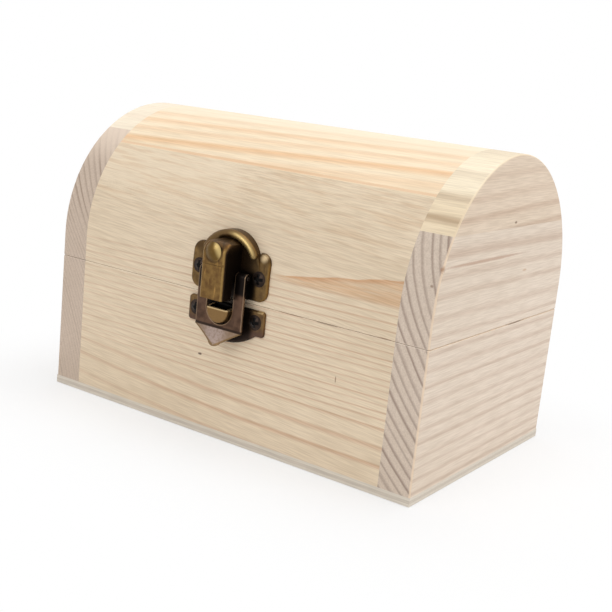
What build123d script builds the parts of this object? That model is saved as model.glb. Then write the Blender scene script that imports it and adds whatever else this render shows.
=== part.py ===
from build123d import *
import os
from math import cos, degrees, pi, radians, sin, sqrt

# Small treasure chest box in plain softwood, with an arched lid, a pressed brass duckbill latch at the
# front and two small surface hinges at the back.
# Millimetres. X runs along the chest, -Y is the front, +Z is up. The origin is the middle of the
# underside of the wooden box, so the latch and the hinges reach past the depth given here.

# Wooden box
length = 160.0
depth = 100.0
height = 110.0
base_thickness = 3.0
parting_drop = 9.0
lid_gap = 0.15
end_thickness = 12.0
board_thickness = 10.0
top_board_span = 90.0
left_seam_drop = 10.0
right_seam_drop = 24.5
corner_round = 0.8
parting_chamfer = 0.2
cut_overrun = 5.0

# Brass sheet and its seat on the wood
latch_offset = 1.8
plate_sheet = 1.3
plate_seat = 0.05
plate_edge_round = 0.9
plate_half_width = 16.5
plate_parting_gap = 1.5
ear_corner_round = 3.6
ear_foot_round = 1.2

# Upper plate: two ears and a round dome with a rolled rim
upper_ear_height = 16.5
dome_radius = 13.0
dome_rise = 6.0
dome_bead_radius = 1.4
dome_bead_start = 30.0
ear_notch_radius = 1.1
skirt_reach = 4.0

# Lower plate: two ears, a rounded belly and the scoop that the loop drops over
lower_ear_height = 9.0
belly_half_width = 13.0
belly_drop = 4.6
scoop_radius = 5.0
scoop_reach = 5.0
scoop_drop = 3.4
scoop_lip_height = 1.2
scoop_draft = 6.0
scoop_sheet = 0.8
scoop_edge_round = 0.9

# Hood: the folded bar that covers the pin
hood_width = 10.0
hood_reach = 9.0
hood_sheet = 1.0
hood_foot_lift = 1.0
hood_head_gap = 0.1
hood_top_slope = 1.2
hood_head_round = 4.2
hood_cheek_depth = 5.0
hood_edge_round = 1.2
boss_radius = 3.3
boss_rise = 1.2
boss_drop = 3.9
crease_drop = 4.2
crease_width = 0.8
crease_depth = 0.3

# Loop with its duckbill lip, and the pin it swings on
pin_radius = 0.65
pin_clearance = 0.05
pin_lift = 9.0
pin_plate_gap = 0.25
pin_end_reach = 0.15
loop_sheet = 0.9
arm_gap = 0.6
arm_width = 4.4
window_centre_drop = 2.9
fold_drop = 9.6
lip_length = 6.3
lip_flare = 2.2
lip_fold_turn = 12.0
lip_outline_shares = [(1.0, 0.07), (0.62, 0.42), (0.25, 0.80), (0.0, 1.0)]

# Latch screws, dark round heads with a crossed recess
screw_inset = 3.6
upper_screw_lift = 9.3
lower_screw_drop = 5.6
screw_head_radius = 2.7
screw_head_height = 1.7
screw_shank_radius = 1.1
screw_length = 8.0
screw_hole_clearance = 0.05
recess_length_share = 1.15
recess_width_share = 0.3
recess_depth_share = 0.55

# Back hinges
hinge_inset = 35.0
leaf_width = 18.0
leaf_height = 8.2
leaf_sheet = 0.9
leaf_corner_round = 1.2
knuckle_radius = 1.6
knuckle_lift = 0.2
knuckle_gap = 0.25
centre_knuckle_share = 1 / 3
hinge_pin_radius = 0.7
hinge_pin_clearance = 0.05
hinge_pin_end = 0.4
hinge_screw_spacing = 11.0
hinge_screw_drop = 5.2
hinge_screw_head_radius = 1.5
hinge_screw_head_height = 0.6
hinge_screw_shank_radius = 0.6
hinge_screw_length = 6.0

# Worked out from the values above
half_turn = degrees(pi)
quarter_turn = half_turn / 2
half_length = length / 2
half_depth = depth / 2
arch_radius = half_depth
spring_height = height - arch_radius
parting_height = spring_height - parting_drop
inner_length = length - 2 * end_thickness
inner_radius = arch_radius - board_thickness
lid_bottom = parting_height + lid_gap
side_board_span = (half_turn - top_board_span) / 2

plate_front = plate_seat + plate_sheet
dome_lift = plate_parting_gap + upper_ear_height - dome_radius + dome_rise
bead_path_radius = dome_radius - dome_bead_radius

hood_front = plate_front + hood_reach
hood_cheek = hood_front - hood_cheek_depth
hood_head_radius = bead_path_radius - dome_bead_radius - hood_head_gap
hood_top = dome_lift + hood_head_radius
hood_cheek_lift = pin_lift - 2 * pin_radius - hood_sheet

eye_radius = pin_radius + pin_clearance + loop_sheet
pin_stand = plate_front + pin_plate_gap + eye_radius
loop_front = pin_stand + eye_radius
loop_back = loop_front - loop_sheet
arm_inner = hood_width / 2 + arm_gap
arm_outer = arm_inner + arm_width
latch_reach = hood_front + cut_overrun

hinge_spacing = length - 2 * hinge_inset
hinge_axis_y = half_depth + knuckle_lift + knuckle_radius
hinge_axis_z = parting_height + lid_gap / 2
centre_knuckle_width = leaf_width * centre_knuckle_share
knuckle_clear = knuckle_radius + knuckle_gap

# Face of the latch: local x along the chest, local y up from the parting line, local z out of the front
latch_face = Plane(origin=(latch_offset, -half_depth, parting_height), x_dir=(1, 0, 0), z_dir=(0, -1, 0))
# Side view of the latch: local x out of the front, local y up
latch_side = Plane(origin=(latch_offset, -half_depth, parting_height), x_dir=(0, -1, 0), z_dir=(-1, 0, 0))
# Side view of the wooden box: local x is Y, local y is Z
box_side = Plane.YZ

upper_screw_places = [(side * (plate_half_width - screw_inset), upper_screw_lift) for side in (-1, 1)]
lower_screw_places = [(side * (plate_half_width - screw_inset), -lower_screw_drop) for side in (-1, 1)]

os.makedirs("parts", exist_ok=True)


def save(piece, name):
    piece.part.label = name
    export_step(piece.part, f"parts/{name}.step")


def wall_face(side):
    """Front (-1) or back (1) face of the wooden box, with local z pointing out."""
    return Plane(origin=(0, side * half_depth, 0), x_dir=(-side, 0, 0), z_dir=(0, side, 0))


def latch_holes(places):
    """Places on the front face for the screws of one latch plate."""
    return [(latch_offset + across, parting_height + lift) for across, lift in places]


def hinge_holes(side):
    """Places on the back face for the screws of both hinges, below (-1) or above (1) their axis."""
    height_here = hinge_axis_z + side * hinge_screw_drop
    return [
        (hinge * hinge_spacing / 2 + screw * hinge_screw_spacing / 2, height_here)
        for hinge in (-1, 1)
        for screw in (-1, 1)
    ]


# Plywood base

with BuildPart() as base_panel:
    Box(length, depth, base_thickness, align=(Align.CENTER, Align.CENTER, Align.MIN))
save(base_panel, "base_panel")


# Walls of the box, under the saw cut that frees the lid

wall_height = parting_height - base_thickness


def body_wall(side, holes, screw_radius, screw_depth):
    """Front (-1) or back (1) board of the box, held between the two end panels."""
    face = wall_face(side)
    with BuildPart() as board:
        with BuildSketch(Plane.XY.offset(base_thickness)):
            with Locations((0, side * (half_depth - board_thickness / 2))):
                Rectangle(inner_length, board_thickness)
        extrude(amount=wall_height)
        rim = board.edges().filter_by(Axis.X).group_by(Axis.Z)[-1].sort_by(Axis.Y)
        chamfer(rim[0] if side < 0 else rim[-1], parting_chamfer)
        with Locations(*[face.location * Pos(-side * x, z, 0) for x, z in holes]):
            Hole(screw_radius + screw_hole_clearance, screw_depth)
    return board


body_front_board = body_wall(-1, latch_holes(lower_screw_places), screw_shank_radius, screw_length)
save(body_front_board, "body_front_board")

body_back_board = body_wall(1, hinge_holes(-1), hinge_screw_shank_radius, hinge_screw_length)
save(body_back_board, "body_back_board")


def end_plane(side):
    """Outer face of the left (-1) or right (1) end, with local x along Y and local y up."""
    return Plane(origin=(side * half_length, 0, 0), x_dir=(0, side, 0), z_dir=(side, 0, 0))


for side, side_name in ((-1, "left"), (1, "right")):
    with BuildPart() as body_end:
        with BuildSketch(end_plane(side)):
            with Locations((0, base_thickness + wall_height / 2)):
                Rectangle(depth, wall_height)
        extrude(amount=-end_thickness)
        outer_face = body_end.faces().sort_by(Axis.X)[-1 if side > 0 else 0]
        fillet(outer_face.edges().filter_by(Axis.Z), corner_round)
        rim = body_end.faces().sort_by(Axis.Z)[-1].edges().sort_by(Axis.X)
        chamfer(rim[:-1] if side < 0 else rim[1:], parting_chamfer)
    save(body_end, f"body_{side_name}_end")


# Lid: two arched ends, each edge glued from two boards, with three boards between them


def arched_end(side, seam_height, keep):
    """Part of an arched end of the lid below or above its glued seam."""
    with BuildPart() as board:
        with BuildSketch(end_plane(side)):
            with BuildLine():
                arch = CenterArc((0, spring_height), arch_radius, 0, half_turn)
                Polyline(arch @ 0, (half_depth, lid_bottom), (-half_depth, lid_bottom), arch @ 1)
            make_face()
        extrude(amount=-end_thickness)
        outer_face = board.faces().sort_by(Axis.X)[-1 if side > 0 else 0]
        fillet(outer_face.edges().sort_by(Axis.Z)[1:], corner_round)
        rim = board.faces().sort_by(Axis.Z)[0].edges().sort_by(Axis.X)
        chamfer(rim[:-1] if side < 0 else rim[1:], parting_chamfer)
        split(bisect_by=Plane.XY.offset(seam_height), keep=keep)
    return board


for side, side_name, seam_drop in ((-1, "left", left_seam_drop), (1, "right", right_seam_drop)):
    lid_end = arched_end(side, height - seam_drop, Keep.BOTTOM)
    save(lid_end, f"lid_{side_name}_end_lower")
    lid_end = arched_end(side, height - seam_drop, Keep.TOP)
    save(lid_end, f"lid_{side_name}_end_upper")


def lid_wall(side, holes, screw_radius, screw_depth):
    """Front (-1) or back (1) board of the lid, straight at its foot and rounded over at its top."""
    face = wall_face(side)
    start = half_turn if side < 0 else 0
    with BuildPart() as board:
        with BuildSketch(box_side):
            with BuildLine():
                outer_arc = CenterArc((0, spring_height), arch_radius, start, side * side_board_span)
                inner_arc = CenterArc((0, spring_height), inner_radius, start, side * side_board_span)
                Line(outer_arc @ 1, inner_arc @ 1)
                Polyline(
                    outer_arc @ 0,
                    (side * arch_radius, lid_bottom),
                    (side * inner_radius, lid_bottom),
                    inner_arc @ 0,
                )
            make_face()
        extrude(amount=inner_length / 2, both=True)
        rim = board.edges().filter_by(Axis.X).group_by(Axis.Z)[0].sort_by(Axis.Y)
        chamfer(rim[0] if side < 0 else rim[-1], parting_chamfer)
        with Locations(*[face.location * Pos(-side * x, z, 0) for x, z in holes]):
            Hole(screw_radius + screw_hole_clearance, screw_depth)
    return board


lid_front_board = lid_wall(-1, latch_holes(upper_screw_places), screw_shank_radius, screw_length)
save(lid_front_board, "lid_front_board")

lid_back_board = lid_wall(1, hinge_holes(1), hinge_screw_shank_radius, hinge_screw_length)
save(lid_back_board, "lid_back_board")

with BuildPart() as lid_top_board:
    with BuildSketch(box_side):
        with BuildLine():
            outer_arc = CenterArc((0, spring_height), arch_radius, side_board_span, top_board_span)
            inner_arc = CenterArc((0, spring_height), inner_radius, side_board_span, top_board_span)
            Line(outer_arc @ 0, inner_arc @ 0)
            Line(outer_arc @ 1, inner_arc @ 1)
        make_face()
    extrude(amount=inner_length / 2, both=True)
save(lid_top_board, "lid_top_board")


# Latch


def lid_profile(seat):
    """Lid seen from the side up to a seat off its surface, to trim or shape brass that lies on it."""
    with BuildSketch(latch_side) as profile:
        with BuildLine():
            arc = CenterArc((-arch_radius, parting_drop), arch_radius + seat, 0, quarter_turn)
            Polyline(arc @ 0, (seat, 0), (-arch_radius, 0), arc @ 1)
        make_face()
    return profile.sketch


with BuildPart() as latch_upper_plate:
    # ears, bent to follow the lid
    with BuildSketch(latch_face.offset(-skirt_reach)) as ears:
        with Locations((0, plate_parting_gap + upper_ear_height / 2)):
            Rectangle(2 * plate_half_width, upper_ear_height)
        fillet(ears.vertices().group_by(Axis.Z)[-1], ear_corner_round)
        fillet(ears.vertices().group_by(Axis.Z)[0], ear_foot_round)
        ear_top = plate_parting_gap + upper_ear_height
        notch_across = sqrt(dome_radius**2 - (ear_top - dome_lift) ** 2)
        with Locations((notch_across, ear_top), (-notch_across, ear_top)):
            Circle(ear_notch_radius, mode=Mode.SUBTRACT)
    extrude(amount=2 * skirt_reach)
    extrude(lid_profile(plate_front), amount=length / 2, both=True, mode=Mode.INTERSECT)
    flat_front = latch_upper_plate.faces().sort_by(Axis.Y)[0]
    bent_front = latch_upper_plate.faces().filter_by(GeomType.CYLINDER).sort_by(SortBy.AREA)[-1]
    ear_rim = (flat_front.edges() - bent_front.edges()) + (bent_front.edges() - flat_front.edges())
    fillet(ear_rim, plate_edge_round)
    # floor of the dome, flat behind the hood
    with BuildSketch(latch_face):
        with Locations((0, dome_lift)):
            Circle(dome_radius)
        with Locations((0, plate_parting_gap)):
            Rectangle(2 * dome_radius, 2 * dome_radius, align=(Align.CENTER, Align.MAX), mode=Mode.SUBTRACT)
    extrude(amount=plate_front)
    # skirt from the rim of the dome back to the curved lid
    with BuildSketch(latch_face.offset(-skirt_reach)):
        with Locations((0, dome_lift)):
            Circle(dome_radius)
            Circle(dome_radius - plate_sheet, mode=Mode.SUBTRACT)
            Rectangle(
                2 * dome_radius, 2 * dome_radius, align=(Align.CENTER, Align.MAX), mode=Mode.SUBTRACT
            )
    extrude(amount=skirt_reach + plate_front)
    # rolled rim
    bead_start = Plane(
        origin=latch_face.from_local_coords((0, dome_lift, plate_front)),
        x_dir=(cos(radians(dome_bead_start)), 0, sin(radians(dome_bead_start))),
        z_dir=(-sin(radians(dome_bead_start)), 0, cos(radians(dome_bead_start))),
    )
    with BuildSketch(bead_start):
        with Locations((bead_path_radius, 0)):
            Circle(dome_bead_radius)
    revolve(
        axis=Axis(latch_face.from_local_coords((0, dome_lift, 0)), (0, -1, 0)),
        revolution_arc=half_turn - 2 * dome_bead_start,
    )
    bead_across = bead_path_radius * cos(radians(dome_bead_start))
    bead_lift = dome_lift + bead_path_radius * sin(radians(dome_bead_start))
    with Locations(
        *[latch_face.location * Pos(side * bead_across, bead_lift, plate_front) for side in (-1, 1)]
    ):
        Sphere(dome_bead_radius)
    extrude(lid_profile(plate_seat), amount=length / 2, both=True, mode=Mode.SUBTRACT)
    with Locations(*[latch_face.location * Pos(x, y, plate_front) for x, y in upper_screw_places]):
        Hole(screw_shank_radius + screw_hole_clearance)
save(latch_upper_plate, "latch_upper_plate")


with BuildPart() as latch_lower_plate:
    # plate with its ears and belly
    with BuildSketch(latch_face.offset(plate_seat)) as lower_outline:
        with Locations((0, -plate_parting_gap - lower_ear_height / 2)):
            Rectangle(2 * plate_half_width, lower_ear_height)
        fillet(lower_outline.vertices(), ear_foot_round)
        belly_lift = -plate_parting_gap - lower_ear_height
        with BuildLine():
            Line((-belly_half_width, belly_lift), (belly_half_width, belly_lift))
            ThreePointArc(
                (-belly_half_width, belly_lift),
                (0, belly_lift - belly_drop),
                (belly_half_width, belly_lift),
            )
        make_face()
    extrude(amount=plate_sheet)
    plate_rim = latch_lower_plate.faces().sort_by(Axis.Y)[0].edges()
    fillet(plate_rim, plate_edge_round)
    # scoop pressed out of the plate, open at its top
    with BuildSketch(latch_face.offset(plate_front)):
        with Locations((0, -scoop_drop)):
            Circle(scoop_radius)
            Rectangle(2 * scoop_radius, scoop_lip_height, align=(Align.CENTER, Align.MIN))
        with Locations((0, scoop_lip_height - scoop_drop)):
            Rectangle(
                4 * scoop_radius, 4 * scoop_radius, align=(Align.CENTER, Align.MIN), mode=Mode.SUBTRACT
            )
    extrude(amount=scoop_reach, taper=scoop_draft)
    scoop_face = latch_lower_plate.faces().sort_by(Axis.Y)[0]
    fillet(scoop_face.edges().sort_by(Axis.Z)[:-1], scoop_edge_round)
    with BuildSketch(latch_face.offset(plate_front)):
        with Locations((0, -scoop_drop)):
            Circle(scoop_radius - scoop_sheet)
            Rectangle(
                2 * (scoop_radius - scoop_sheet), scoop_radius, align=(Align.CENTER, Align.MIN)
            )
    extrude(amount=scoop_reach - scoop_sheet, taper=scoop_draft, mode=Mode.SUBTRACT)
    with Locations(*[latch_face.location * Pos(x, y, plate_front) for x, y in lower_screw_places]):
        Hole(screw_shank_radius + screw_hole_clearance)
save(latch_lower_plate, "latch_lower_plate")


def hood_section(inset, foot, back):
    """Side view of the hood, drawn in by its sheet for the hollow."""
    with BuildSketch(latch_side) as section:
        with BuildLine() as outline:
            Polyline(
                (back, foot),
                (back, hood_top - inset),
                (hood_front - inset, hood_top - inset - hood_top_slope),
                (hood_front - inset, foot),
                close=True,
            )
            head = outline.vertices().sort_by(Axis.X)[-2:].sort_by(Axis.Y)[-1]
            fillet(head, hood_head_round - inset)
        make_face()
    return section.sketch


def boss_section(centre):
    """Half of the low round boss on the head of the hood, in the side view."""
    with BuildSketch(latch_side) as section:
        with BuildLine():
            Polyline(
                (hood_front + boss_rise, centre),
                (hood_front - hood_sheet / 2, centre),
                (hood_front - hood_sheet / 2, centre + boss_radius),
                (hood_front, centre + boss_radius),
            )
            TangentArc(
                (hood_front + boss_rise, centre), (hood_front, centre + boss_radius), tangent=(0, 1)
            )
        make_face()
    return section.sketch


with BuildPart() as latch_hood:
    extrude(hood_section(0, hood_foot_lift, plate_front), amount=hood_width / 2, both=True)
    hood_face = latch_hood.faces().sort_by(Axis.Y)[0]
    fillet(hood_face.edges().filter_by(Axis.Z), hood_edge_round)
    # head rounded to fit inside the rim of the dome
    with BuildSketch(latch_face):
        with Locations((0, dome_lift)):
            Circle(hood_head_radius)
            Rectangle(hood_width, length, align=(Align.CENTER, Align.MAX))
    extrude(amount=latch_reach, mode=Mode.INTERSECT)
    boss_lift = hood_top - boss_drop
    boss_axis = Axis(latch_face.from_local_coords((0, boss_lift, 0)), (0, -1, 0))
    revolve(boss_section(boss_lift), axis=boss_axis)
    # hollow, open at the foot and at the back
    hollow = hood_section(hood_sheet, hood_foot_lift - cut_overrun, plate_front)
    extrude(hollow, amount=hood_width / 2 - hood_sheet, both=True, mode=Mode.SUBTRACT)
    # cheeks stand clear of the loop's plate below the pin
    with BuildSketch(latch_side):
        with Locations((plate_front - cut_overrun, hood_cheek_lift)):
            Rectangle(
                hood_cheek - plate_front + cut_overrun, length, align=(Align.MIN, Align.MAX)
            )
        with Locations((pin_stand, pin_lift)):
            Circle(pin_radius + pin_clearance)
    extrude(amount=hood_width, both=True, mode=Mode.SUBTRACT)
    # stamped crease under the boss
    with BuildSketch(latch_side):
        with Locations((hood_front, boss_lift - crease_drop)):
            Rectangle(2 * crease_depth, crease_width)
    extrude(amount=hood_width, both=True, mode=Mode.SUBTRACT)
save(latch_hood, "latch_hood")

with BuildPart() as latch_pin:
    with BuildSketch(latch_side):
        with Locations((pin_stand, pin_lift)):
            Circle(pin_radius)
    extrude(amount=arm_outer + pin_end_reach, both=True)
    chamfer(latch_pin.edges().filter_by(GeomType.CIRCLE), pin_end_reach)
save(latch_pin, "latch_pin")


def loop_front_outline():
    """Front view of the loop: two arms, a round-bottomed window and the lip."""
    flank = [(arm_outer * across, -fold_drop - lip_length * down) for across, down in lip_outline_shares]
    other_flank = [(-across, lift) for across, lift in flank]
    top = pin_lift + eye_radius
    with BuildSketch(latch_face) as outline:
        with BuildLine():
            Polyline(other_flank[0], (-arm_outer, top), (arm_outer, top), flank[0])
            ThreePointArc(flank[0], flank[1], flank[2])
            ThreePointArc(flank[2], flank[3], other_flank[2])
            ThreePointArc(other_flank[2], other_flank[1], other_flank[0])
        make_face()
        with Locations((0, -window_centre_drop)):
            Circle(arm_inner, mode=Mode.SUBTRACT)
            Rectangle(2 * arm_inner, length, align=(Align.CENTER, Align.MIN), mode=Mode.SUBTRACT)
    return outline.sketch


with BuildPart() as latch_loop:
    # the sheet from its rolled eye to the flared tip, seen from the side
    lip_start = (sin(radians(lip_fold_turn)), -cos(radians(lip_fold_turn)))
    with BuildSketch(latch_side):
        with BuildLine():
            back_lip, front_lip = [
                TangentArc(
                    (stand, -fold_drop), (stand + lip_flare, -fold_drop - lip_length), tangent=lip_start
                )
                for stand in (loop_back, loop_front)
            ]
            Polyline(back_lip @ 0, (loop_back, pin_lift), (loop_front, pin_lift), front_lip @ 0)
            Line(back_lip @ 1, front_lip @ 1)
        make_face()
        with Locations((pin_stand, pin_lift)):
            Circle(eye_radius)
            Circle(pin_radius + pin_clearance, mode=Mode.SUBTRACT)
    extrude(amount=arm_outer, both=True)
    extrude(loop_front_outline(), amount=latch_reach, mode=Mode.INTERSECT)
save(latch_loop, "latch_loop")


# Screws


def add_screw(seat, head_radius, head_height, shank_radius, shank_length):
    """One round-headed screw, with the seat's local z pointing out of the face that it holds down."""
    head_curve = (head_radius**2 + head_height**2) / (2 * head_height)
    with BuildSketch(Plane(seat.origin, x_dir=seat.x_dir, z_dir=-seat.y_dir)) as half:
        with BuildLine():
            Polyline(
                (0, head_height),
                (0, -shank_length),
                (shank_radius, -shank_length + shank_radius),
                (shank_radius, 0),
                (head_radius, 0),
            )
            RadiusArc((head_radius, 0), (0, head_height), head_curve)
        make_face()
    revolve(half.sketch, axis=Axis(seat.origin, seat.z_dir))
    with BuildSketch(seat.offset(head_height * (1 - recess_depth_share))) as cross:
        Rectangle(head_radius * recess_length_share, head_radius * recess_width_share)
        Rectangle(head_radius * recess_width_share, head_radius * recess_length_share)
    extrude(cross.sketch, amount=head_height, mode=Mode.SUBTRACT)


def latch_screws(places):
    """Two screws through the ears of one latch plate into the board behind it."""
    with BuildPart() as screws:
        for across, lift in places:
            seat_place = latch_face.from_local_coords((across, lift, plate_front))
            seat = Plane(seat_place, x_dir=(1, 0, 0), z_dir=(0, -1, 0))
            add_screw(seat, screw_head_radius, screw_head_height, screw_shank_radius, screw_length)
    return screws


latch_upper_screws = latch_screws(upper_screw_places)
save(latch_upper_screws, "latch_upper_screws")
latch_lower_screws = latch_screws(lower_screw_places)
save(latch_lower_screws, "latch_lower_screws")


def hinge_screws(side):
    """Screws of both hinges, in the leaves below (-1) or above (1) the hinge line."""
    with BuildPart() as screws:
        for across, lift in hinge_holes(side):
            seat = Plane((across, half_depth + leaf_sheet, lift), x_dir=(-1, 0, 0), z_dir=(0, 1, 0))
            add_screw(
                seat,
                hinge_screw_head_radius,
                hinge_screw_head_height,
                hinge_screw_shank_radius,
                hinge_screw_length,
            )
    return screws


hinge_body_screws = hinge_screws(-1)
save(hinge_body_screws, "hinge_body_screws")
hinge_lid_screws = hinge_screws(1)
save(hinge_lid_screws, "hinge_lid_screws")


# Back hinges


def knuckle_stretches(side):
    """Where the body leaf (-1) has its two outer knuckles, or the lid leaf (1) its middle one."""
    if side > 0:
        return [(0.0, centre_knuckle_width)]
    outer_width = (leaf_width - centre_knuckle_width) / 2 - knuckle_gap
    outer_centre = (leaf_width - outer_width) / 2
    return [(-outer_centre, outer_width), (outer_centre, outer_width)]


def knuckle_plane(hinge_x):
    """Plane square to the hinge line at the middle of one hinge."""
    return Plane(origin=(hinge_x, hinge_axis_y, hinge_axis_z), x_dir=(0, 1, 0), z_dir=(1, 0, 0))


def hinge_leaf(side, hinge_x):
    """Flat leaf on the back of the box (-1) or of the lid (1), with its knuckles rolled round the pin."""
    leaf_face = Plane(origin=(hinge_x, half_depth, hinge_axis_z), x_dir=(-1, 0, 0), z_dir=(0, 1, 0))
    knuckle_side = knuckle_plane(hinge_x)
    screw_places = [(screw * hinge_screw_spacing / 2, side * hinge_screw_drop) for screw in (-1, 1)]
    with BuildPart() as leaf:
        with BuildSketch(leaf_face) as outline:
            with Locations((0, side * (knuckle_clear + leaf_height) / 2)):
                Rectangle(leaf_width, leaf_height - knuckle_clear)
            far_corners = outline.vertices().sort_by(Axis.Z)
            fillet(far_corners[:2] if side < 0 else far_corners[2:], leaf_corner_round)
            for across, width in knuckle_stretches(side):
                with Locations((across, side * knuckle_clear / 2)):
                    Rectangle(width, knuckle_clear)
        extrude(amount=leaf_sheet)
        for across, width in knuckle_stretches(side):
            with BuildSketch(knuckle_side.offset(across)):
                Circle(knuckle_radius)
            extrude(amount=width / 2, both=True)
        with BuildSketch(knuckle_side):
            Circle(hinge_pin_radius + hinge_pin_clearance)
        extrude(amount=leaf_width, both=True, mode=Mode.SUBTRACT)
        with Locations(*[leaf_face.location * Pos(x, y, leaf_sheet) for x, y in screw_places]):
            Hole(hinge_screw_shank_radius + screw_hole_clearance)
    return leaf


for side, side_name in ((-1, "left"), (1, "right")):
    hinge_x = side * hinge_spacing / 2
    save(hinge_leaf(-1, hinge_x), f"{side_name}_hinge_body_leaf")
    save(hinge_leaf(1, hinge_x), f"{side_name}_hinge_lid_leaf")
    with BuildPart() as hinge_pin:
        with BuildSketch(knuckle_plane(hinge_x)):
            Circle(hinge_pin_radius)
        extrude(amount=leaf_width / 2 + hinge_pin_end, both=True)
        chamfer(hinge_pin.edges().filter_by(GeomType.CIRCLE), hinge_pin_end / 2)
    save(hinge_pin, f"{side_name}_hinge_pin")
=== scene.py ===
# %% [markdown]
# # A small pine chest with a brass latch
# The chest is glued up from plain pine boards, sawn open into a box and an arched lid, and closed by a
# pressed brass latch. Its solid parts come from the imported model, already at their size and place.
# This lesson gives each part its finish, softens the edges of the swinging loop, and lights the whole.

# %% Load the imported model
import bpy
from math import radians
from mathutils import Matrix, Vector


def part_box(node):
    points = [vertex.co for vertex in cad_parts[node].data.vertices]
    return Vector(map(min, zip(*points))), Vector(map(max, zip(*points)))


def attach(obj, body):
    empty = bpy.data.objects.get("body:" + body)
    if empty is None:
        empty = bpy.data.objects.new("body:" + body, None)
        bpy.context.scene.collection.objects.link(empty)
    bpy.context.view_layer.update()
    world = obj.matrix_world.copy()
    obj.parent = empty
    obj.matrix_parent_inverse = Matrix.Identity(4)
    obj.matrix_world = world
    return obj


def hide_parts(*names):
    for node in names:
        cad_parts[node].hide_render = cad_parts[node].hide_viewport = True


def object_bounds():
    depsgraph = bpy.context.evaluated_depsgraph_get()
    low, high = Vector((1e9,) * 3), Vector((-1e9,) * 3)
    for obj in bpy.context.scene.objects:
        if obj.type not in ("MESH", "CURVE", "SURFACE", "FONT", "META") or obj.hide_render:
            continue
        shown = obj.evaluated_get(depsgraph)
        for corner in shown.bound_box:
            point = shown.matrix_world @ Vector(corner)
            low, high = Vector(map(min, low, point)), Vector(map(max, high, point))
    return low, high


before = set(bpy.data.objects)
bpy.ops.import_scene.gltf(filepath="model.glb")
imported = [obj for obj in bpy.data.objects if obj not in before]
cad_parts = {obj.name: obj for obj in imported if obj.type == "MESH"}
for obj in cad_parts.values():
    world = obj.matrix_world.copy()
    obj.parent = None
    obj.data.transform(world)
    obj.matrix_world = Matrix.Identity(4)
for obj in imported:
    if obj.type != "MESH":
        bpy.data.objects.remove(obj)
cad_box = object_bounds()

# %% [markdown]
# The camera stands in front of the chest and to its right, a little above the lid, and leans a few degrees.
# Its place was worked out from the corners of the chest in the photograph, so it is typed in as it is.
# A turn about Z gives the direction, a turn about X the downward look, and a last turn the lean.

# %% Camera
TURN, LOOK_DOWN, LEAN = 33.70, 12.85, 5.95

camera = bpy.data.objects.new("camera", bpy.data.cameras.new("camera"))
bpy.context.scene.collection.objects.link(camera)
camera.data.sensor_width = 36
camera.data.lens = 62.85
camera.location = (0.22165, -0.33181, 0.13240)
look = (
    Matrix.Rotation(radians(TURN), 3, "Z")
    @ Matrix.Rotation(radians(90 - LOOK_DOWN), 3, "X")
    @ Matrix.Rotation(radians(LEAN), 3, "Z")
)
camera.rotation_euler = look.to_euler()
bpy.context.scene.camera = camera
print("camera at", [round(v, 3) for v in camera.location])

# %% [markdown]
# A bright, even room comes from the world's own light. What the camera, a mirror or a glass sees of it is
# plain white, while the light that falls on the chest is set apart from that, a little dimmer.
# Four large soft lamps add the direction: most from above, some on the ends, and a little on the front.

# %% World and lamps
WHITE = (1, 1, 1, 1)


def seen_or_mirrored(tree):
    """1 for what the camera, a mirror or a glass looks at, and 0 for light that falls on things."""
    path = tree.nodes.new("ShaderNodeLightPath")
    share = path.outputs["Is Camera Ray"]
    for ray in ("Is Glossy Ray", "Is Transmission Ray"):
        larger = tree.nodes.new("ShaderNodeMath")
        larger.operation = "MAXIMUM"
        tree.links.new(share, larger.inputs[0])
        tree.links.new(path.outputs[ray], larger.inputs[1])
        share = larger.outputs[0]
    return share


world = bpy.data.worlds.new("white room")
world.use_nodes = True
bpy.context.scene.world = world
sky = world.node_tree
sky.nodes.clear()
plain_white = sky.nodes.new("ShaderNodeBackground")
plain_white.inputs["Color"].default_value = WHITE
room_light = sky.nodes.new("ShaderNodeBackground")
room_light.inputs["Color"].default_value = WHITE
room_light.inputs["Strength"].default_value = 0.48
blend = sky.nodes.new("ShaderNodeMixShader")
sky.links.new(seen_or_mirrored(sky), blend.inputs["Fac"])
sky.links.new(room_light.outputs[0], blend.inputs[1])
sky.links.new(plain_white.outputs[0], blend.inputs[2])
sky.links.new(blend.outputs[0], sky.nodes.new("ShaderNodeOutputWorld").inputs["Surface"])


def softbox(name, place, aim, size, power):
    """A large soft lamp, with its place, its aim and its two sides in metres."""
    lamp = bpy.data.objects.new(name, bpy.data.lights.new(name, "AREA"))
    bpy.context.scene.collection.objects.link(lamp)
    lamp.data.shape = "RECTANGLE"
    lamp.data.size, lamp.data.size_y = size
    lamp.data.energy = power
    lamp.location = place
    lamp.rotation_euler = (Vector(aim) - Vector(place)).to_track_quat("-Z", "Y").to_euler()


softbox("lamp above", (0.15, 0.10, 0.95), (0, 0, 0.05), (0.9, 0.7), 3.9)
softbox("lamp at the end", (1.0, 0.15, 0.45), (0.05, 0, 0.05), (0.6, 0.6), 2.1)
softbox("lamp in front", (-0.25, -1.0, 0.55), (0, 0, 0.05), (0.5, 0.5), 2.15)
softbox("lamp at the other end", (-1.0, 0.3, 0.3), (-0.05, 0, 0.05), (0.6, 0.6), 1.2)
bpy.context.scene.view_settings.view_transform = "Standard"

# %% [markdown]
# Every finish below is a small network of nodes. These helpers add one node at a time and wire it up, so
# that a formula reads almost as it would on paper: each value may be a number or another node's output.
# A mask is such a value too, 1 where something is and 0 where it isn't, with a soft step in between.

# %% Helpers for node networks
def paint(red, green, blue):
    """A colour read off a screen, from 0 to 255, as the renderer's own light values."""
    shares = [v / 255 for v in (red, green, blue)]
    return tuple(v / 12.92 if v < 0.04045 else ((v + 0.055) / 1.055) ** 2.4 for v in shares) + (1,)


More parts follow.
